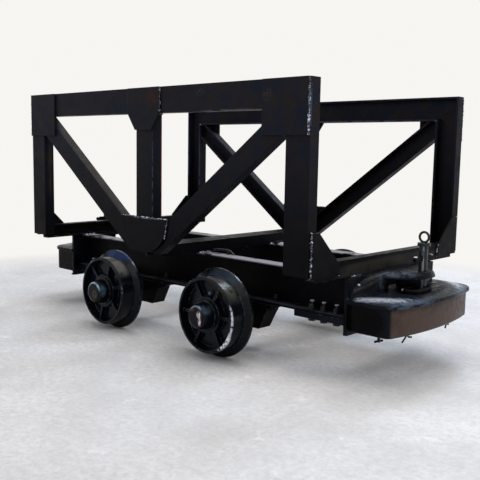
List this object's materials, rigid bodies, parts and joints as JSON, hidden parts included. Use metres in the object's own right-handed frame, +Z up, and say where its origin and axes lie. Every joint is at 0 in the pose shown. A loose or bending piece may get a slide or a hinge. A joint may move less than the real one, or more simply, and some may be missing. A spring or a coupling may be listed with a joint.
{
  "type": "mine material car",
  "caption": "Narrow-gauge mine material car: two welded open truss sides on a channel chassis with cast round-head buffers, coupling pins and spoked flanged wheelsets.",
  "frame": {"origin": "on the floor, below the middle of the car, where the wheel flanges stand", "axes": "+X along the track towards the front, +Y to the left side, +Z up"},
  "size_m": [2.1158, 1.09, 1.0409],
  "materials": {
    "frame_paint": "satin",
    "chassis_paint": "satin",
    "casting_paint": "gloss",
    "wheel_paint": "gloss",
    "forging": "satin"
  },
  "bodies": {
    "car": {"front_brackets": "frame_paint", "front_buffer": "casting_paint", "front_coupling_link": "forging", "front_coupling_pin": "forging", "front_cross_member": "frame_paint", "front_headstock": "chassis_paint", "front_left_pedestal": "chassis_paint", "front_right_pedestal": "chassis_paint", "left_diagonals": "frame_paint", "left_end_posts": "frame_paint", "left_joint_plates": "frame_paint", "left_middle_post": "frame_paint", "left_sill": "chassis_paint", "left_top_rail": "frame_paint", "middle_cross_member": "frame_paint", "rear_brackets": "frame_paint", "rear_buffer": "casting_paint", "rear_coupling_link": "forging", "rear_coupling_pin": "forging", "rear_cross_member": "frame_paint", "rear_headstock": "chassis_paint", "rear_left_pedestal": "chassis_paint", "rear_right_pedestal": "chassis_paint", "right_diagonals": "frame_paint", "right_end_posts": "frame_paint", "right_joint_plates": "frame_paint", "right_middle_post": "frame_paint", "right_sill": "chassis_paint", "right_top_rail": "frame_paint", "sill_ties": "chassis_paint"},
    "front_wheelset": {"front_axle": "forging", "front_right_wheel": "wheel_paint", "front_left_wheel": "wheel_paint", "front_right_hub_cap": "wheel_paint", "front_left_hub_cap": "wheel_paint"},
    "rear_wheelset": {"rear_axle": "forging", "rear_right_wheel": "wheel_paint", "rear_left_wheel": "wheel_paint", "rear_right_hub_cap": "wheel_paint", "rear_left_hub_cap": "wheel_paint"}
  },
  "joints": [
    {"name": "front_wheelset_roll", "type": "hinge", "parent": "car", "child": "front_wheelset", "pos_m": [0.325, 0, 0.175], "axis": [0, 1, 0], "continuous": true},
    {"name": "rear_wheelset_roll", "type": "hinge", "parent": "car", "child": "rear_wheelset", "pos_m": [-0.325, 0, 0.175], "axis": [0, 1, 0], "continuous": true}
  ]
}
